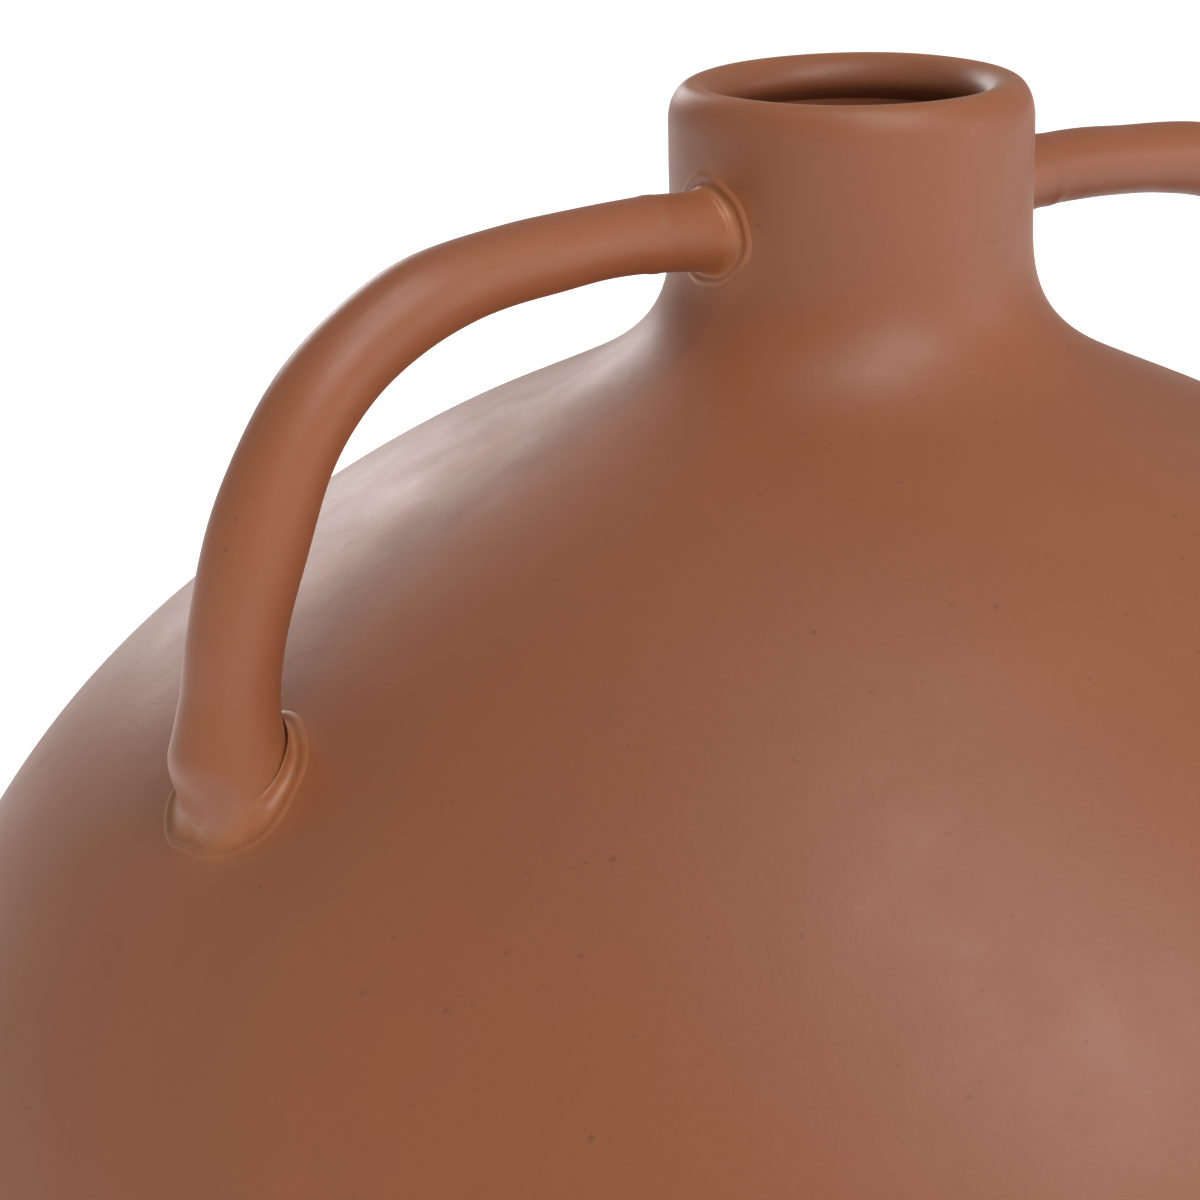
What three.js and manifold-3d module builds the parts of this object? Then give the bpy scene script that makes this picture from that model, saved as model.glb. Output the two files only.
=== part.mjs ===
// Round terracotta vase with a narrow neck, a rolled lip and two arched rod handles.
//
// The vessel is made the way a large closed pot is put together from leather-hard clay:
// a floor disc and a foot ring, a lower and an upper bowl joined at the belly, a neck
// collar that carries the flare, a rolled lip, and two pulled rod handles. Every joint
// between bowls, collar and lip is a V-shaped tongue and groove, and a bead of slip
// closes the corner round each handle end. JOINT is the layer of slip between pieces.
//
// Millimetres, +Z up. The origin is the centre of the foot ring's resting face.
// The handles lie in the XZ plane, handle_left towards -X and handle_right towards +X.

import * as THREE from "three";
import { mergeVertices } from "three/addons/utils/BufferGeometryUtils.js";
import Module from "manifold-3d";

const wasm = await Module();
wasm.setup();

// ---- driving dimensions ------------------------------------------------------------
const HEIGHT = 357; // resting face to the crest of the lip
const BELLY_R = 163.8; // outer radius at the equator
const BELLY_Z = 151; // height of the equator
const BELLY_WALL = 5.5;
const NECK_R = 28; // outer radius of the neck
const NECK_WALL = 6;
const LIP_Z = 350; // joint between the neck collar and the rolled lip
const FOOT_OUTER_R = 72;
const FOOT_INNER_R = 60;
const FOOT_H = 4;
const FLOOR_R = 64;
const FLOOR_TOP = 10;
const JOINT = 0.36; // slip layer between two pieces
const GROOVE = 1.5; // depth of the V joints
const CLEAR = 0.32; // slip layer round the handle ends
const SEGMENTS = 32; // facets round the axis
const BEAD_NECK = 2.0; // section radius of the slip bead at the neck
const BEAD_SHOULDER = 2.1; // and at the shoulder

// Outer profile above the sphere: shoulder, flare and neck, as [radius, height].
const SHOULDER = [
  [134.0, 245.3],
  [126.5, 255.0],
  [118.1, 264.0],
  [109.5, 271.8],
  [100.7, 278.8],
  [92.2, 285.0],
  [84.1, 290.6],
  [76.2, 295.5],
  [68.7, 299.7],
  [61.7, 303.2],
  [55.0, 306.2],
  [48.9, 308.9],
  [43.4, 311.4],
  [38.6, 313.9],
  [34.5, 316.8],
  [31.2, 320.2],
  [29.1, 324.1],
  [28.1, 328.4],
  [27.8, 333.0],
  [27.9, 338.0],
  [28.0, 343.0],
  [28.0, LIP_Z],
];
const COLLAR_FROM_R = 46; // the collar's flare meets the upper bowl at this radius

// Centreline of a handle in its own plane: [distance from the axis, height, rod diameter].
const HANDLE = [
  [19.0, 335.9, 12.4],
  [26.5, 336.8, 12.3],
  [33.0, 337.4, 11.7],
  [40.0, 337.9, 11.4],
  [48.0, 337.9, 11.4],
  [56.0, 337.4, 11.5],
  [64.0, 336.8, 11.6],
  [72.5, 335.6, 12.0],
  [80.5, 333.5, 12.6],
  [87.8, 330.0, 13.1],
  [94.2, 325.6, 13.4],
  [99.6, 320.3, 13.8],
  [103.8, 314.2, 14.3],
  [106.9, 308.0, 14.8],
  [109.4, 301.8, 14.9],
  [111.6, 295.2, 14.6],
  [113.4, 288.2, 14.2],
  [114.4, 281.5, 14.3],
  [115.0, 275.5, 16.4],
  [115.2, 269.5, 19.4],
  [115.2, 262.0, 20.4],
  [115.2, 254.0, 20.4],
];

// ---- materials ---------------------------------------------------------------------
const clay = (name, hex, roughness = 0.5) =>
  new THREE.MeshStandardMaterial({ name, color: hex, roughness, metalness: 0 });
const BODY_CLAY = clay("matt_terracotta_glaze", 0x96593f);
const HANDLE_CLAY = clay("handle_glaze", 0x98593d);
const BEAD_CLAY = clay("slip_bead_glaze", 0x9d6143);
const FOOT_CLAY = clay("bare_foot_clay", 0xb1714e, 0.85);

// ---- helpers -----------------------------------------------------------------------
const v2 = (r, z) => new THREE.Vector2(r, z);

// Evenly spaced points on a smooth 2D curve through the given points.
function smooth(points, count) {
  return new THREE.SplineCurve(points.map(([r, z]) => v2(r, z))).getSpacedPoints(
    count,
  );
}

// A lathe solid from a closed ring of profile points, turned about +Z.
function lathe(points) {
  const ring = points.slice();
  if (ring[0].x > 0 && !ring[0].equals(ring[ring.length - 1])) ring.push(ring[0]);
  const g = new THREE.LatheGeometry(ring, SEGMENTS);
  g.rotateX(Math.PI / 2);
  return g;
}

// A closed mesh as a solid. Facing is settled by its volume.
function solid(geometry) {
  const g = geometry.clone();
  g.deleteAttribute("normal");
  g.deleteAttribute("uv");
  const m = mergeVertices(g, 1e-3);
  const tri = [];
  const idx = m.index.array;
  for (let i = 0; i < idx.length; i += 3)
    if (idx[i] !== idx[i + 1] && idx[i + 1] !== idx[i + 2] && idx[i] !== idx[i + 2])
      tri.push(idx[i], idx[i + 1], idx[i + 2]);
  const make = (t) =>
    new wasm.Manifold(
      new wasm.Mesh({
        numProp: 3,
        vertProperties: new Float32Array(m.attributes.position.array),
        triVerts: new Uint32Array(t),
      }),
    );
  let s = make(tri);
  if (s.volume() < 0) {
    for (let i = 0; i < tri.length; i += 3) [tri[i + 1], tri[i + 2]] = [tri[i + 2], tri[i + 1]];
    s = make(tri);
  }
  return s;
}

// A solid back as a geometry. Keeps only the largest body, so no crumbs are left by a cut.
function geometryOf(s) {
  const parts = s.decompose().sort((a, b) => b.volume() - a.volume());
  const mesh = parts[0].getMesh();
  const n = mesh.numProp;
  const pos = new Float32Array(mesh.numVert * 3);
  for (let i = 0; i < mesh.numVert; i++)
    for (let k = 0; k < 3; k++) pos[i * 3 + k] = mesh.vertProperties[i * n + k];
  const g = new THREE.BufferGeometry();
  g.setAttribute("position", new THREE.BufferAttribute(pos, 3));
  g.setIndex(new THREE.BufferAttribute(new Uint32Array(mesh.triVerts), 1));
  const flat = g.toNonIndexed();
  flat.computeVertexNormals();
  return flat;
}

// ---- the outer profile, from the foot up to the lip joint --------------------------
const sphereR = (z, R) => Math.sqrt(Math.max(0, R * R - (z - BELLY_Z) ** 2));
const sphereZ = (r, R) => BELLY_Z - Math.sqrt(Math.max(0, R * R - r * r));

// Points on the sphere between two heights, spaced evenly by angle.
function spherePoints(z0, z1, count, R) {
  const a0 = Math.asin((z0 - BELLY_Z) / R);
  const a1 = Math.asin((z1 - BELLY_Z) / R);
  const out = [];
  for (let i = 0; i <= count; i++) {
    const a = a0 + ((a1 - a0) * i) / count;
    out.push(v2(R * Math.cos(a), BELLY_Z + R * Math.sin(a)));
  }
  return out;
}

const shoulderCurve = smooth(SHOULDER, 240);
// Unit normal pointing out of the wall at index i of a polyline that runs upwards.
function outward(points, i) {
  const a = points[Math.max(0, i - 1)];
  const b = points[Math.min(points.length - 1, i + 1)];
  const t = b.clone().sub(a).normalize();
  return v2(t.y, -t.x);
}
function offset(points, distance) {
  return points.map((p, i) => {
    const d = typeof distance === "function" ? distance(p) : distance;
    return p.clone().addScaledVector(outward(points, i), d);
  });
}
// The wall thins from the belly's to the neck's across the flare.
const wallAt = (p) => {
  const t = THREE.MathUtils.clamp((60 - p.x) / 30, 0, 1);
  return BELLY_WALL + (NECK_WALL - BELLY_WALL) * t;
};
const shoulderInner = offset(shoulderCurve, (p) => -wallAt(p));

const collarFrom = shoulderCurve.findIndex((p) => p.x < COLLAR_FROM_R);
const pick = (from, to, count) => {
  const out = [];
  for (let i = 0; i <= count; i++) out.push(Math.round(from + ((to - from) * i) / count));
  return out;
};

// The two sides of a V joint across the wall: the groove below and the tongue above.
function groove(o, i, t) {
  const m = o.clone().add(i).multiplyScalar(0.5);
  return [
    o.clone().addScaledVector(t, -JOINT / 2),
    m.addScaledVector(t, -JOINT / 2 - GROOVE),
    i.clone().addScaledVector(t, -JOINT / 2),
  ];
}
function tongue(o, i, t) {
  const m = o.clone().add(i).multiplyScalar(0.5);
  return [
    i.clone().addScaledVector(t, JOINT / 2),
    m.addScaledVector(t, JOINT / 2 - GROOVE),
    o.clone().addScaledVector(t, JOINT / 2),
  ];
}

// ---- foot ring and floor -----------------------------------------------------------
const footRing = lathe([
  v2(FOOT_INNER_R, 0.8),
  v2(FOOT_INNER_R + 1, 0),
  v2(FOOT_OUTER_R - 3, 0),
  v2(FOOT_OUTER_R - 1.4, 1.2),
  v2(FOOT_OUTER_R, FOOT_H),
  v2(FOOT_INNER_R, FOOT_H),
]);
const floorDisc = lathe([
  v2(0, FOOT_H + JOINT),
  v2(FLOOR_R - 1.5, FOOT_H + JOINT),
  v2(FLOOR_R, (FOOT_H + FLOOR_TOP) / 2),
  v2(FLOOR_R - 1.5, FLOOR_TOP),
  v2(0, FLOOR_TOP),
]);

// ---- lower bowl --------------------------------------------------------------------
const INNER_R = BELLY_R - BELLY_WALL;
const up = v2(0, 1);
const belly = groove(v2(BELLY_R, BELLY_Z), v2(INNER_R, BELLY_Z), up);
const bowlFoot = FOOT_H + JOINT;
const innerFloorR = sphereR(FLOOR_TOP + 5, INNER_R);
const lowerBowl = lathe([
  v2(FLOOR_R - 1.5 + JOINT * 1.3, bowlFoot),
  v2(sphereR(bowlFoot, BELLY_R), bowlFoot),
  ...spherePoints(bowlFoot, BELLY_Z, 12, BELLY_R).slice(1, -1),
  ...belly,
  ...spherePoints(FLOOR_TOP + 5, BELLY_Z, 11, INNER_R).slice(0, -1).reverse(),
  v2((innerFloorR + FLOOR_R) / 2 + 1.5, FLOOR_TOP + 1.2),
  v2(FLOOR_R - 1.5 + JOINT * 1.3, FLOOR_TOP),
  v2(FLOOR_R + JOINT * 1.3, (FOOT_H + FLOOR_TOP) / 2),
]);

// ---- upper bowl --------------------------------------------------------------------
const bellyUp = tongue(v2(BELLY_R, BELLY_Z), v2(INNER_R, BELLY_Z), up);
const tangentAt = (i) => {
  const n = outward(shoulderCurve, i);
  return v2(-n.y, n.x);
};
const collarJoint = {
  o: shoulderCurve[collarFrom],
  i: shoulderInner[collarFrom],
  t: tangentAt(collarFrom),
};
const upperIdx = pick(0, collarFrom, 9);
const upperBowl = lathe([
  ...bellyUp.slice(1),
  ...spherePoints(BELLY_Z, SHOULDER[0][1], 6, BELLY_R).slice(1, -1),
  ...upperIdx.slice(0, -1).map((i) => shoulderCurve[i]),
  ...groove(collarJoint.o, collarJoint.i, collarJoint.t),
  ...upperIdx
    .slice(1, -1)
    .reverse()
    .map((i) => shoulderInner[i]),
  ...spherePoints(BELLY_Z, shoulderInner[0].y, 6, INNER_R).slice(1).reverse(),
  bellyUp[0],
]);

// ---- neck collar -------------------------------------------------------------------
const last = shoulderCurve.length - 1;
const collarIdx = pick(collarFrom, last, 11);
const collarBottom = tongue(collarJoint.o, collarJoint.i, collarJoint.t);
const lipJoint = { o: v2(NECK_R, LIP_Z), i: v2(NECK_R - NECK_WALL, LIP_Z), t: up };
const neckCollar = lathe([
  ...collarBottom.slice(1),
  ...collarIdx.slice(1, -1).map((i) => shoulderCurve[i]),
  ...groove(lipJoint.o, lipJoint.i, lipJoint.t),
  ...collarIdx
    .slice(1, -1)
    .reverse()
    .map((i) => shoulderInner[i]),
  collarBottom[0],
]);

// ---- rolled lip: its inner edge rolls in past the neck's inner wall ------------------
const lipBottom = tongue(lipJoint.o, lipJoint.i, lipJoint.t);
const rimRoll = lathe([
  ...lipBottom.slice(1),
  v2(28.0, 351.6),
  v2(27.75, 353.4),
  v2(27.2, 354.9),
  v2(26.4, 356.1),
  v2(25.4, 356.8),
  v2(24.4, HEIGHT),
  v2(23.2, 356.75),
  v2(21.9, 356.0),
  v2(20.9, 354.9),
  v2(20.4, 353.5),
  v2(20.5, 352.2),
  v2(21.1, 351.1),
  lipBottom[0],
]);

// ---- the vessel's outside, grown by the slip layer, used to cope the handle ends -----
const envelopeProfile = offset(
  [...spherePoints(bowlFoot, SHOULDER[0][1], 16, BELLY_R), ...pick(0, last, 36).slice(1).map((i) => shoulderCurve[i])],
  CLEAR,
);
const envelope = solid(
  lathe([
    v2(0, bowlFoot - 2),
    v2(envelopeProfile[0].x, bowlFoot - 2),
    ...envelopeProfile,
    v2(NECK_R + CLEAR, HEIGHT),
    v2(0, HEIGHT),
  ]),
);
// Radius of the outside at a height, read off the profile.
function radiusAt(z) {
  if (z <= SHOULDER[0][1]) return sphereR(z, BELLY_R);
  for (let i = 1; i < shoulderCurve.length; i++) {
    const a = shoulderCurve[i - 1];
    const b = shoulderCurve[i];
    if (z <= b.y) return a.x + ((b.x - a.x) * (z - a.y)) / (b.y - a.y);
  }
  return NECK_R;
}

// ---- handles -----------------------------------------------------------------------
const HANDLE_STEPS = 28;
const handlePath = new THREE.CatmullRomCurve3(
  HANDLE.map(([u, z]) => new THREE.Vector3(-u, 0, z)),
  false,
  "centripetal",
);
// Rod radius at a share of the path's length, read off the HANDLE table.
const tableLengths = (() => {
  const at = [0];
  for (let i = 1; i < HANDLE.length; i++)
    at.push(at[i - 1] + Math.hypot(HANDLE[i][0] - HANDLE[i - 1][0], HANDLE[i][1] - HANDLE[i - 1][1]));
  return at.map((s) => s / at[at.length - 1]);
})();
function rodRadius(share) {
  let i = 1;
  while (i < tableLengths.length - 1 && tableLengths[i] < share) i++;
  const k = (share - tableLengths[i - 1]) / (tableLengths[i] - tableLengths[i - 1]);
  return (HANDLE[i - 1][2] + (HANDLE[i][2] - HANDLE[i - 1][2]) * k) / 2;
}

// A rod swept along the path, its radius grown by extra. The sweep is made 1 mm thick
// and each ring is then scaled out from its own station to the radius there.
function rod(extra) {
  const section = new THREE.Shape();
  const sides = 12;
  for (let k = 0; k < sides; k++) {
    const a = (k / sides) * Math.PI * 2;
    if (k) section.lineTo(Math.cos(a), Math.sin(a));
    else section.moveTo(1, 0);
  }
  section.closePath();
  const g = new THREE.ExtrudeGeometry(section, {
    steps: HANDLE_STEPS,
    bevelEnabled: false,
    extrudePath: handlePath,
  });
  const stations = handlePath.getSpacedPoints(HANDLE_STEPS);
  const pos = g.attributes.position;
  const p = new THREE.Vector3();
  for (let i = 0; i < pos.count; i++) {
    p.fromBufferAttribute(pos, i);
    let best = 0;
    for (let k = 1; k < stations.length; k++)
      if (stations[k].distanceToSquared(p) < stations[best].distanceToSquared(p)) best = k;
    const radius = rodRadius(best / HANDLE_STEPS) + extra;
    p.sub(stations[best]).multiplyScalar(radius).add(stations[best]);
    pos.setXYZ(i, p.x, p.y, p.z);
  }
  return g;
}
const rodSolid = solid(rod(0));
const rodGrown = solid(rod(CLEAR));
const handleGeometry = geometryOf(rodSolid.subtract(envelope));

// ---- slip beads --------------------------------------------------------------------
// The corner where the rod's skin runs into the vessel: from a ring round the rod, each
// point slides along the rod until it meets the outside of the vessel.
function cornerCurve(share, direction, count) {
  const c = handlePath.getPointAt(share);
  const t = handlePath.getTangentAt(share).multiplyScalar(direction);
  const side = new THREE.Vector3(0, 1, 0);
  const lift = new THREE.Vector3().crossVectors(t, side).normalize();
  const inside = (p) => Math.hypot(p.x, p.y) < radiusAt(p.z);
  const out = [];
  for (let k = 0; k < count; k++) {
    const a = (k / count) * Math.PI * 2;
    const at = (s) => {
      const radius = rodRadius(THREE.MathUtils.clamp(share + (direction * s) / pathLength, 0, 1));
      return c
        .clone()
        .addScaledVector(side, Math.cos(a) * radius)
        .addScaledVector(lift, Math.sin(a) * radius)
        .addScaledVector(t, s);
    };
    let lo = -14;
    let hi = 16;
    for (let n = 0; n < 40; n++) {
      const mid = (lo + hi) / 2;
      if (inside(at(mid))) hi = mid;
      else lo = mid;
    }
    out.push(at(lo));
  }
  return new THREE.CatmullRomCurve3(out, true, "centripetal");
}
const pathLength = handlePath.getLength();
// Share of the path where the centreline crosses the vessel's outside.
function crossing(from, to) {
  let lo = from;
  let hi = to;
  for (let n = 0; n < 40; n++) {
    const mid = (lo + hi) / 2;
    const p = handlePath.getPointAt(mid);
    if (Math.hypot(p.x, p.y) < radiusAt(p.z)) hi = mid;
    else lo = mid;
  }
  return (lo + hi) / 2;
}
const neckShare = crossing(0.3, 0.0);
const shoulderShare = crossing(0.6, 1.0);
function bead(share, direction, radius) {
  const curve = cornerCurve(share, direction, 24);
  const g = new THREE.TubeGeometry(curve, 26, radius, 6, true);
  return geometryOf(solid(g).subtract(rodGrown).subtract(envelope));
}
const neckBead = bead(neckShare, -1, BEAD_NECK);
const shoulderBead = bead(shoulderShare, 1, BEAD_SHOULDER);

// ---- the scene graph ---------------------------------------------------------------
const mesh = (name, geometry, material) => {
  const m = new THREE.Mesh(geometry, material);
  m.name = name;
  return m;
};
const vase = new THREE.Group();
const vessel = new THREE.Group();
vessel.add(
  mesh("foot_ring", footRing, FOOT_CLAY),
  mesh("floor_disc", floorDisc, BODY_CLAY),
  mesh("lower_bowl", lowerBowl, BODY_CLAY),
  mesh("upper_bowl", upperBowl, BODY_CLAY),
  mesh("neck_collar", neckCollar, BODY_CLAY),
  mesh("rim_roll", rimRoll, BODY_CLAY),
);
vase.add(vessel);
// The right side is the left side turned half a turn about the axis.
for (const [side, turn] of [
  ["left", 0],
  ["right", Math.PI],
]) {
  const arm = new THREE.Group();
  arm.rotation.z = turn;
  arm.add(
    mesh("handle_" + side, handleGeometry.clone(), HANDLE_CLAY),
    mesh("slip_bead_neck_" + side, neckBead.clone(), BEAD_CLAY),
    mesh("slip_bead_shoulder_" + side, shoulderBead.clone(), BEAD_CLAY),
  );
  vase.add(arm);
}

export default vase;
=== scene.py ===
import math
import bpy
import numpy as np
from mathutils import Matrix, Vector


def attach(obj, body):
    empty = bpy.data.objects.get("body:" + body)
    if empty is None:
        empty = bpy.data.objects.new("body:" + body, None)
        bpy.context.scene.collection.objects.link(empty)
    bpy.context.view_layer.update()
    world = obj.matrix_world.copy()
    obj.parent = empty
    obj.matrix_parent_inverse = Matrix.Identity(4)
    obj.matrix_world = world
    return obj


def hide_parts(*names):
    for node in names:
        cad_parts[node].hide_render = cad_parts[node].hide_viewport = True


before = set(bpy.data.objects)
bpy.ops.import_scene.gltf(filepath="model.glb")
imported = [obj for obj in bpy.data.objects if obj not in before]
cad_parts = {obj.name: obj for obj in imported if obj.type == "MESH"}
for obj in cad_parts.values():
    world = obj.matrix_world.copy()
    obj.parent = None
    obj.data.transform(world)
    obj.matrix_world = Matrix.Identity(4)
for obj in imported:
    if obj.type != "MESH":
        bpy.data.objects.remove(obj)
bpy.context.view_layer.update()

# Round terracotta vase: dense surfaces for every node, in metres, +Z up.
MM = 0.001
SEG = 288
BELLY_R, BELLY_Z, WALL = 163.8, 151.0, 5.5
SHOULDER = [(134.0, 245.3), (126.5, 255.0), (118.1, 264.0), (109.5, 271.8), (100.7, 278.8),
            (92.2, 285.0), (84.1, 290.6), (76.2, 295.5), (68.7, 299.7), (61.7, 303.2),
            (55.0, 306.2), (48.9, 308.9), (43.4, 311.4), (38.6, 313.9), (34.5, 316.8),
            (31.2, 320.2), (29.1, 324.1), (28.1, 328.4), (27.8, 333.0), (27.9, 338.0),
            (28.0, 343.0), (28.0, 350.0)]
LIP = [(28.0, 350.0), (28.0, 351.6), (27.75, 353.4), (27.2, 354.9), (26.4, 356.1), (25.4, 356.8),
       (24.4, 357.0), (23.2, 356.75), (21.9, 356.0), (20.9, 354.9), (20.4, 353.5),
       (20.5, 352.2), (21.1, 351.1), (22.0, 350.0)]
HANDLE = [(19.0, 335.9, 12.4), (26.5, 336.8, 12.3), (33.0, 337.4, 11.7), (40.0, 337.9, 11.4),
          (48.0, 337.9, 11.4), (56.0, 337.4, 11.5), (64.0, 336.8, 11.6), (72.5, 335.6, 12.0),
          (80.5, 333.5, 12.6), (87.8, 330.0, 13.1), (94.2, 325.6, 13.4), (99.6, 320.3, 13.8),
          (103.8, 314.2, 14.3), (106.9, 308.0, 14.8), (109.4, 301.8, 14.9), (111.6, 295.2, 14.6),
          (113.4, 288.2, 14.2), (114.4, 281.5, 14.3), (115.0, 275.5, 16.4), (115.2, 269.5, 19.4),
          (115.2, 262.0, 20.4), (115.2, 254.0, 20.4)]


def spline(points, step):
    """Catmull-Rom through the points, resampled evenly about every step."""
    p = np.array(points, float)
    q = np.vstack([2 * p[0] - p[1], p, 2 * p[-1] - p[-2]])
    out = []
    for i in range(len(p) - 1):
        a, b, c, d = q[i], q[i + 1], q[i + 2], q[i + 3]
        for t in np.linspace(0, 1, 16, endpoint=False):
            out.append(0.5 * (2 * b + (c - a) * t + (2 * a - 5 * b + 4 * c - d) * t * t
                              + (3 * b - a - 3 * c + d) * t ** 3))
    out.append(p[-1])
    return resample(np.array(out), step)


def resample(p, step):
    s = np.concatenate([[0], np.cumsum(np.linalg.norm(np.diff(p, axis=0), axis=1))])
    n = max(2, int(round(s[-1] / step)) + 1)
    t = np.linspace(0, s[-1], n)
    return np.stack([np.interp(t, s, p[:, k]) for k in range(p.shape[1])], axis=1)


def relax(p, rounds):
    p = p.copy()
    for _ in range(rounds):
        p[1:-1] = p[1:-1] * 0.5 + (p[:-2] + p[2:]) * 0.25
    return p


def arc(z0, z1, R, step):
    a0, a1 = math.asin((z0 - BELLY_Z) / R), math.asin((z1 - BELLY_Z) / R)
    n = max(2, int(abs(a1 - a0) * R / step))
    a = np.linspace(a0, a1, n + 1)
    return np.stack([R * np.cos(a), BELLY_Z + R * np.sin(a)], axis=1)


# ---- the outer profile from the equator to the lip joint, one smooth line -------------
upper = np.vstack([arc(BELLY_Z, 238.0, BELLY_R, 2.0), np.array(SHOULDER)])
outer = relax(spline(upper, 1.0), 14)
outer_z = outer[:, 1]
outer_r = outer[:, 0]


def radius_at(z):
    z = np.asarray(z, float)
    low = np.sqrt(np.maximum(BELLY_R ** 2 - (z - BELLY_Z) ** 2, 0))
    return np.where(z < BELLY_Z, low, np.interp(z, outer_z, outer_r))


def normals2(p):
    t = np.gradient(p, axis=0)
    t /= np.linalg.norm(t, axis=1, keepdims=True)
    return np.stack([t[:, 1], -t[:, 0]], axis=1)


wall = np.where(outer[:, 0] < 30, 6.0, np.where(outer[:, 0] > 60, WALL, 6.0 - 0.5 * (outer[:, 0] - 30) / 30))
inner = outer - normals2(outer) * wall[:, None]
inner[-1] = (22.0, 350.0)
cut = int(np.argmax(outer[:, 0] < 46.0))

# ---- handle path and the corners where a rod meets the vessel --------------------------
path = spline([(u, z, d) for u, z, d in HANDLE], 0.8)
path[:, :] = relax(path, 6)
arclen = np.concatenate([[0], np.cumsum(np.linalg.norm(np.diff(path[:, :2], axis=0), axis=1))])


def at_length(s):
    return [float(np.interp(s, arclen, path[:, k])) for k in range(3)]


def tangent_at(s):
    a, b = at_length(max(0, s - 0.6)), at_length(min(arclen[-1], s + 0.6))
    t = np.array([b[0] - a[0], 0, b[1] - a[1]])
    return t / np.linalg.norm(t)


def heel(s, sin_a):
    """The flare at the shoulder is rounded off on the side away from the neck."""
    k = min(max((s - (S_SHOULDER - 7.0)) / 12.0, 0), 1)
    return 1 - 0.46 * k * k * (3 - 2 * k) * max(0.0, sin_a) ** 1.3


def inside(p):
    return math.hypot(p[0], p[1]) < float(radius_at(p[2]))


def crossing(lo, hi):
    for _ in range(40):
        mid = (lo + hi) / 2
        u, z, _d = at_length(mid)
        if u < float(radius_at(z)):
            hi = mid
        else:
            lo = mid
    return (lo + hi) / 2


def corner(s0, direction, count):
    """Points round the rod where its skin enters the vessel, with frame vectors."""
    u, z, _d = at_length(s0)
    c = np.array([u, 0, z])
    t = tangent_at(s0) * direction
    side = np.array([0, 1.0, 0])
    lift = np.cross(t, side)
    out = []
    for k in range(count):
        a = 2 * math.pi * k / count
        n = side * math.cos(a) + lift * math.sin(a)

        def at(s):
            r = at_length(min(max(s0 + direction * s, 0), arclen[-1]))[2] / 2
            r *= heel(s0 + direction * s, math.sin(a))
            return c + n * r + t * s
        lo, hi = -14.0, 16.0
        for _ in range(36):
            mid = (lo + hi) / 2
            if inside(at(mid)):
                hi = mid
            else:
                lo = mid
        out.append((at(lo), n, -t, s0 + direction * lo))
    return out


S_NECK = crossing(30.0, 0.0)
S_SHOULDER = crossing(arclen[-1] * 0.6, arclen[-1])
CORNERS = {"neck": corner(S_NECK, -1, 120), "shoulder": corner(S_SHOULDER, 1, 144)}
corner_pts = np.array([c[0] for c in CORNERS["neck"]] + [c[0] for c in CORNERS["shoulder"]])
corner_all = np.vstack([corner_pts, corner_pts * np.array([-1, -1, 1])])


def pale_glaze_and_highlight_mask(v):
    """1 where the colour is painted lighter: glaze pulled thin together with a painted highlight at the handle
    joints, and a painted highlight along the lip's crest.
    """
    d = np.full(len(v), 1e9)
    near = v[:, 2] > 225
    for i in range(0, len(corner_all), 3):
        d[near] = np.minimum(d[near], np.linalg.norm(v[near] - corner_all[i], axis=1))
    # lighter at the handle joints: partly glaze pulled thin, partly painted highlight
    joint = np.exp(-(d / 4.2) ** 2)
    r = np.hypot(v[:, 0], v[:, 1])
    # painted highlight along the lip's crest
    lip = np.exp(-(((r - 24.4) / 2.6) ** 2 + ((v[:, 2] - 357) / 1.6) ** 2)) * 0.55
    return np.clip(joint + lip, 0, 1)


def make(name, verts, faces, material, node, angle=32):
    v = np.array(verts, float)
    mesh = bpy.data.meshes.new(name)
    mesh.from_pydata((v * MM).tolist(), [], faces)
    mesh.validate()
    # per-vertex mask for the lighter colour: glaze pulled thin and painted highlight at the handle joints, painted
    # highlight on the lip's crest
    attr = mesh.attributes.new("pale_glaze_and_highlight", "FLOAT", "POINT")
    attr.data.foreach_set("value", pale_glaze_and_highlight_mask(v).astype(np.float32))
    import bmesh
    bm = bmesh.new()
    bm.from_mesh(mesh)
    bmesh.ops.recalc_face_normals(bm, faces=bm.faces)
    bm.to_mesh(mesh)
    bm.free()
    mesh.polygons.foreach_set("use_smooth", [True] * len(mesh.polygons))
    mesh.set_sharp_from_angle(angle=math.radians(angle))
    mesh.materials.append(material)
    ob = bpy.data.objects.new(name, mesh)
    bpy.context.scene.collection.objects.link(ob)
    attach(ob, "root")
    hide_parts(node)
    return ob


def wobble(v):
    """Hand-made unevenness: the lip dips a little at the back left and is not quite round."""
    a = np.arctan2(v[:, 1], v[:, 0])
    up = np.clip((v[:, 2] - 348.5) / 7.0, 0, 1) ** 1.5
    back = np.clip(np.cos(a - math.radians(112)), 0, 1) ** 2
    w = v.copy()
    w[:, 2] -= up * (0.38 * back + 0.035 * (1 + np.sin(3 * a + 0.6)) + 0.02 * (1 + np.sin(5 * a + 2.0)))
    r = np.hypot(v[:, 0], v[:, 1])
    k = up * 0.12 * (np.sin(2 * a + 0.9) + 0.5 * np.sin(5 * a)) / np.maximum(r, 1)
    w[:, 0] *= 1 + k
    w[:, 1] *= 1 + k
    return w


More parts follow.
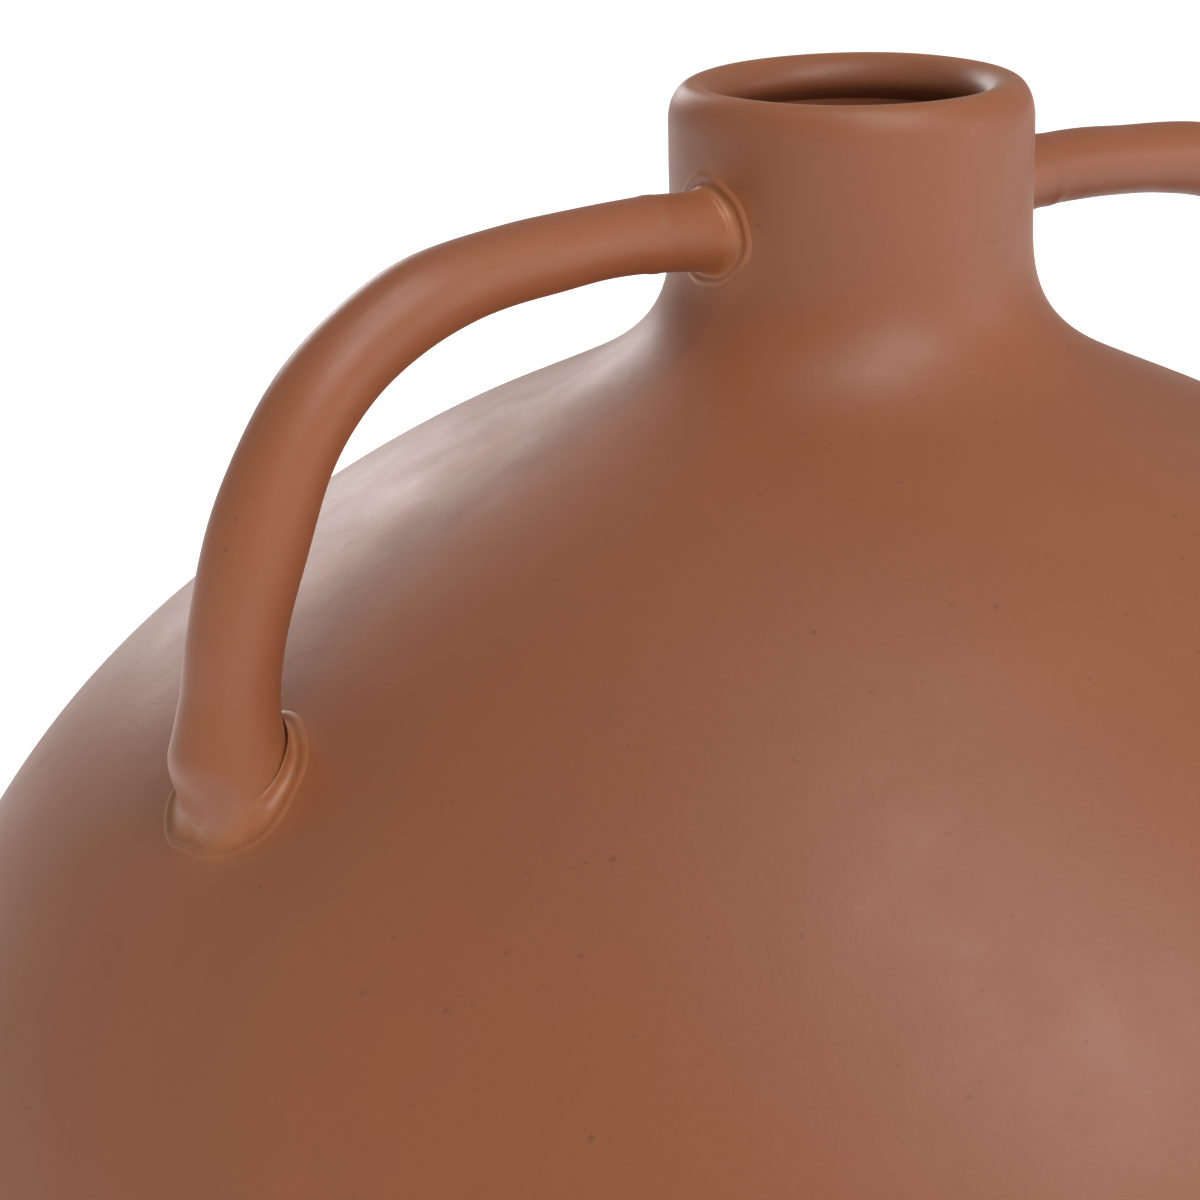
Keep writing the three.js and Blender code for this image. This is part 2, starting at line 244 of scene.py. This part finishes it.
def lathe(name, ring, material, node):
    """Closed ring of profile points turned about Z. Points with r = 0 become poles."""
    ring = [tuple(p) for p in ring]
    verts, rows = [], []
    for r, z in ring:
        if r < 1e-6:
            rows.append([len(verts)])
            verts.append((0, 0, z))
        else:
            rows.append(list(range(len(verts), len(verts) + SEG)))
            for k in range(SEG):
                a = 2 * math.pi * k / SEG
                verts.append((r * math.cos(a), r * math.sin(a), z))
    faces = []
    for i in range(len(rows)):
        a, b = rows[i], rows[(i + 1) % len(rows)]
        if len(a) == 1 and len(b) == 1:
            continue
        for k in range(SEG):
            n = (k + 1) % SEG
            if len(a) == 1:
                faces.append((a[0], b[k], b[n]))
            elif len(b) == 1:
                faces.append((a[k], a[n], b[0]))
            else:
                faces.append((a[k], a[n], b[n], b[k]))
    return make(name, wobble(np.array(verts)), faces, material, node)


# ---- materials ----------------------------------------------------------------------------
def glaze(name, base, deep, pale_glaze_and_highlight, rough, grain=1.0):
    m = bpy.data.materials.new(name)
    m.use_nodes = True
    nt = m.node_tree
    nt.nodes.clear()
    new = nt.nodes.new
    link = nt.links.new
    out = new("ShaderNodeOutputMaterial")
    sh = new("ShaderNodeBsdfPrincipled")
    link(sh.outputs["BSDF"], out.inputs["Surface"])
    sh.inputs["Metallic"].default_value = 0.0
    sh.inputs["IOR"].default_value = 1.5
    sh.inputs["Specular IOR Level"].default_value = 0.5
    sh.inputs["Sheen Weight"].default_value = 0.05
    sh.inputs["Sheen Roughness"].default_value = 0.35
    sh.inputs["Sheen Tint"].default_value = (1.0, 0.86, 0.82, 1)
    co = new("ShaderNodeTexCoord")

    def noise(scale, detail, r=0.5):
        n = new("ShaderNodeTexNoise")
        n.inputs["Scale"].default_value = scale
        n.inputs["Detail"].default_value = detail
        n.inputs["Roughness"].default_value = r
        link(co.outputs["Object"], n.inputs["Vector"])
        return n.outputs["Fac"]

    def ramp(src, lo, hi, a=0.0, b=1.0):
        n = new("ShaderNodeMapRange")
        n.inputs["From Min"].default_value = lo
        n.inputs["From Max"].default_value = hi
        n.inputs["To Min"].default_value = a
        n.inputs["To Max"].default_value = b
        link(src, n.inputs["Value"])
        return n.outputs["Result"]

    def mix(fac, a, b):
        n = new("ShaderNodeMix")
        n.data_type = "RGBA"
        link(fac, n.inputs[0])
        for sock, val in ((n.inputs[6], a), (n.inputs[7], b)):
            if isinstance(val, tuple):
                sock.default_value = val + (1,)
            else:
                link(val, sock)
        return n.outputs[2]

    def math_node(op, a, b):
        n = new("ShaderNodeMath")
        n.operation = op
        for sock, val in ((n.inputs[0], a), (n.inputs[1], b)):
            if isinstance(val, (int, float)):
                sock.default_value = val
            else:
                link(val, sock)
        return n.outputs[0]

    big = ramp(noise(9, 3), 0.35, 0.68)
    mid = ramp(noise(70, 4, 0.6), 0.3, 0.7)
    fine = noise(1500, 3, 0.6)
    speck = ramp(noise(520, 1), 0.74, 0.80)
    mottled = mix(math_node("MULTIPLY", big, 0.75), base, deep)
    mottled = mix(math_node("MULTIPLY", mid, 0.22), mottled, deep)
    lift = math_node("MULTIPLY", ramp(fine, 0.3, 0.7), 0.10)
    mottled = mix(lift, mottled, pale_glaze_and_highlight)
    # lighter colour from the mask: glaze pulled thin with a painted highlight at the handle joints, and a painted
    # highlight along the lip's crest
    at = new("ShaderNodeAttribute")
    at.attribute_name = "pale_glaze_and_highlight"
    pale_and_highlight_fac = math_node("MULTIPLY", at.outputs["Fac"], ramp(noise(260, 4, 0.65), 0.30, 0.62, 0.25, 0.9))
    colour = mix(pale_and_highlight_fac, mottled, pale_glaze_and_highlight)
    colour = mix(math_node("MULTIPLY", speck, 0.35), colour, tuple(c * 0.45 for c in deep))
    link(colour, sh.inputs["Base Color"])
    link(ramp(math_node("ADD", math_node("MULTIPLY", fine, 0.6), math_node("MULTIPLY", mid, 0.4)),
              0.2, 0.8, rough - 0.05, rough + 0.07), sh.inputs["Roughness"])
    bump1 = new("ShaderNodeBump")
    bump1.inputs["Strength"].default_value = 0.22 * grain
    bump1.inputs["Distance"].default_value = 0.00012
    link(fine, bump1.inputs["Height"])
    bump2 = new("ShaderNodeBump")
    bump2.inputs["Strength"].default_value = 0.25
    bump2.inputs["Distance"].default_value = 0.0005
    link(noise(85, 3), bump2.inputs["Height"])
    link(bump1.outputs["Normal"], bump2.inputs["Normal"])
    link(bump2.outputs["Normal"], sh.inputs["Normal"])
    return m


# third colour: the lighter tone for grain and for glaze pulled thin, also the painted highlight at the handle
# joints and lip crest
BODY = glaze("matt_glaze", (0.285, 0.092, 0.036), (0.235, 0.072, 0.030), (0.385, 0.140, 0.048), 0.46)
ROD = glaze("handle_glaze", (0.290, 0.091, 0.035), (0.242, 0.073, 0.030), (0.385, 0.140, 0.048), 0.44)
BEAD = glaze("bead_glaze", (0.295, 0.094, 0.036), (0.245, 0.075, 0.031), (0.395, 0.146, 0.049), 0.42)
CLAY = glaze("bare_foot_clay", (0.43, 0.185, 0.095), (0.36, 0.145, 0.075), (0.52, 0.25, 0.14), 0.8, 3.0)

# ---- the vessel ---------------------------------------------------------------------------
fa = [(60.0, 0.8), (60.3, 0.25), (61.0, 0.0), (65.0, 0.0), (69.0, 0.0), (69.9, 0.3), (70.8, 1.1),
      (71.5, 2.5), (72.0, 4.0), (66.0, 4.0), (60.0, 4.0)]
lathe("vase_foot_ring", fa, CLAY, "foot_ring")
lathe("vase_floor_disc", [(0, 4.3), (30, 4.3), (62.4, 4.3), (64, 7), (62.4, 10), (30, 10), (0, 10)], CLAY,
      "floor_disc")
low_out = arc(4.0, BELLY_Z, BELLY_R, 1.6)
low_in = arc(15.0, BELLY_Z, BELLY_R - WALL, 2.0)[::-1]
lathe("vase_lower_bowl", list(map(tuple, low_out)) + list(map(tuple, low_in))
      + [(74.5, 11.6), (68.0, 10.4), (63.0, 10.0), (64.5, 7.0), (62.9, 4.0)], BODY, "lower_bowl")
inner_rows = list(range(0, cut, 4)) + [cut]
lathe("vase_upper_bowl", list(map(tuple, outer[:cut + 1])) + list(map(tuple, inner[inner_rows][::-1])), BODY,
      "upper_bowl")
lathe("vase_neck_collar", list(map(tuple, outer[cut:])) + list(map(tuple, inner[cut:][::-1])), BODY,
      "neck_collar")
lathe("vase_rim_roll", list(map(tuple, spline(LIP, 0.35))), BODY, "rim_roll")


# ---- handles and their slip beads ------------------------------------------------------------
def turned(verts, right):
    v = np.array(verts)
    return v if right else v * np.array([-1, -1, 1])


def rod(name, right, node):
    m = 72
    ends_n = [c[3] for c in corner(S_NECK, -1, m)]
    ends_s = [c[3] for c in corner(S_SHOULDER, 1, m)]
    # the two rings count round the rod in opposite senses
    ends_n = [ends_n[(-k) % m] for k in range(m)]
    n = int((S_SHOULDER - S_NECK) / 0.8)
    verts, faces = [], []
    ph = 0.0 if right else 1.3
    for i in range(n + 1):
        for k in range(m):
            lo_s, hi_s = ends_n[k] - 2.2, ends_s[k] + 2.2
            s = lo_s + (hi_s - lo_s) * i / n
            u, z, d = at_length(s)
            t = tangent_at(s)
            side = np.array([0, 1.0, 0])
            lift = np.cross(t, side)
            ridge = 0.16 * math.exp(-((s - S_NECK - 11.0) / 1.1) ** 2)
            hand = 0.10 * math.sin(s * 0.11 + ph) + 0.06 * math.sin(s * 0.29 + 2 * ph)
            a = 2 * math.pi * k / m
            r = d / 2 * heel(s, math.sin(a)) + ridge + hand + 0.09 * math.cos(2 * a + s * 0.03 + ph)
            verts.append(np.array([u, 0, z]) + side * (math.cos(a) * r) + lift * (math.sin(a) * r))
    for i in range(n):
        for k in range(m):
            q = (k + 1) % m
            faces.append((i * m + k, i * m + q, (i + 1) * m + q, (i + 1) * m + k))
    faces.append(tuple(range(m))[::-1])
    faces.append(tuple(n * m + k for k in range(m)))
    return make(name, turned(verts, right), faces, ROD, node)


def surface_normal(p):
    z = p[2]
    dr = float(radius_at(z + 0.5) - radius_at(z - 0.5))
    a = math.atan2(p[1], p[0])
    n = np.array([math.cos(a), math.sin(a), -dr])
    return n / np.linalg.norm(n)


def on_surface(p):
    n = surface_normal(p)
    for _ in range(4):
        gap = math.hypot(p[0], p[1]) - float(radius_at(p[2]))
        p = p - n * (gap * float(np.hypot(n[0], n[1])))
    return p, surface_normal(p)


def bead(name, right, which, along, out, lip, node):
    """Soft fillet of slip from the rod's skin to the vessel, ending in a thin raised line."""
    ring, verts, faces = CORNERS[which], [], []
    steps = 12
    for k, (c, n, away, _s) in enumerate(ring):
        g = 1 + 0.16 * math.sin(3 * 2 * math.pi * k / len(ring) + 0.7) + 0.09 * math.sin(7 * 2 * math.pi * k / len(ring))
        nv = surface_normal(c)
        b = n - nv * float(n @ nv)
        b /= np.linalg.norm(b)
        row = [c + away * (along * g + 0.6) - n * 0.25]
        for i in range(steps + 1):
            th = math.pi / 2 * i / steps
            fa_ = along * g * (1 - math.sin(th))
            fb = out * g * (1 - math.cos(th))
            p = c + away * fa_ + b * fb + n * (0.04 if i < steps else 0)
            row.append(p + nv * 0.10)
        for i, h in ((1, 0.55), (2, 1.0), (3, 0.9), (4, 0.45), (5, -0.12)):
            p, sn = on_surface(c + b * (out * g + 0.34 * i))
            row.append(p + sn * (lip * h))
        p, sn = on_surface(c + b * (out * g + 1.5))
        row.append(p - sn * 0.9)
        row.append(c - n * 1.2 - nv * 1.2)
        verts.extend(row)
    m = len(row)
    total = len(ring)
    for k in range(total):
        q = (k + 1) % total
        for i in range(m):
            j = (i + 1) % m
            faces.append((k * m + i, q * m + i, q * m + j, k * m + j))
    return make(name, turned(verts, right), faces, BEAD, node, 60)


for tag, right in (("left", False), ("right", True)):
    rod("vase_handle_" + tag, right, "handle_" + tag)
    bead("vase_slip_neck_" + tag, right, "neck", 1.4, 1.1, 0.30, "slip_bead_neck_" + tag)
    bead("vase_slip_shoulder_" + tag, right, "shoulder", 2.4, 1.7, 0.24, "slip_bead_shoulder_" + tag)

# ---- floor, camera, light -----------------------------------------------------------------
floor_mesh = bpy.data.meshes.new("floor")
floor_mesh.from_pydata([(-6, -6, 0), (6, -6, 0), (6, 6, 0), (-6, 6, 0)], [], [(0, 1, 2, 3)])
floor = bpy.data.objects.new("floor", floor_mesh)
bpy.context.scene.collection.objects.link(floor)
fm = bpy.data.materials.new("floor_white")
fm.use_nodes = True
fs = fm.node_tree.nodes["Principled BSDF"]
fs.inputs["Base Color"].default_value = (0.9, 0.9, 0.9, 1)
fs.inputs["Roughness"].default_value = 0.9
fs.inputs["Specular IOR Level"].default_value = 0.1
fs.inputs["Emission Color"].default_value = (1, 1, 1, 1)
fs.inputs["Emission Strength"].default_value = 0.72
floor_mesh.materials.append(fm)

PITCH, YAW, ROLL, PHI = 0.2832577, 0.0589088, 0.0164817, math.radians(39.5)
fw = np.array([-math.sin(YAW) * math.cos(PITCH), math.cos(YAW) * math.cos(PITCH), -math.sin(PITCH)])
rt = np.array([math.cos(YAW), math.sin(YAW), 0])
dn = np.cross(fw, rt)
rt2 = math.cos(ROLL) * rt + math.sin(ROLL) * dn
dn2 = -math.sin(ROLL) * rt + math.cos(ROLL) * dn


def row_frame(v):
    return Vector((v[0] * math.cos(PHI) + v[1] * math.sin(PHI), -v[0] * math.sin(PHI) + v[1] * math.cos(PHI), v[2]))


cam = bpy.data.cameras.new("camera")
cam.sensor_fit = "HORIZONTAL"
cam.sensor_width = 36.0
cam.lens = 133.11
cam.clip_start = 0.05
cam_ob = bpy.data.objects.new("camera", cam)
bpy.context.scene.collection.objects.link(cam_ob)
X, Y, Z = row_frame(rt2), row_frame(-dn2), row_frame(-fw)
M = Matrix(((X[0], Y[0], Z[0]), (X[1], Y[1], Z[1]), (X[2], Y[2], Z[2]))).to_4x4()
M.translation = row_frame((0, -0.672, 0.47004))
cam_ob.matrix_world = M
bpy.context.scene.camera = cam_ob


def area(name, right, front, up, size, power, target=(0, 0, 0.28)):
    """An area light placed by the camera's right, towards the camera, and up, in metres."""
    li = bpy.data.lights.new(name, "AREA")
    li.shape = "DISK"
    li.size = size
    li.energy = power
    ob = bpy.data.objects.new(name, li)
    bpy.context.scene.collection.objects.link(ob)
    ob.location = row_frame((right, -front, up))
    ob.rotation_euler = (Vector(target) - ob.location).to_track_quat("-Z", "Y").to_euler()


area("key_soft", 0.78, 1.05, 1.50, 1.05, 14.5)
area("top_small", 0.18, 0.45, 1.85, 0.35, 5)
area("right_fill", 1.6, 0.2, 0.60, 0.8, 4)
area("left_back", -0.85, -1.6, 0.80, 0.7, 8.5)

world = bpy.data.worlds.new("studio")
world.use_nodes = True
bg = world.node_tree.nodes["Background"]
bg.inputs["Color"].default_value = (1, 1, 1, 1)
bg.inputs["Strength"].default_value = 0.35
bpy.context.scene.world = world
bpy.context.scene.view_settings.view_transform = "Standard"
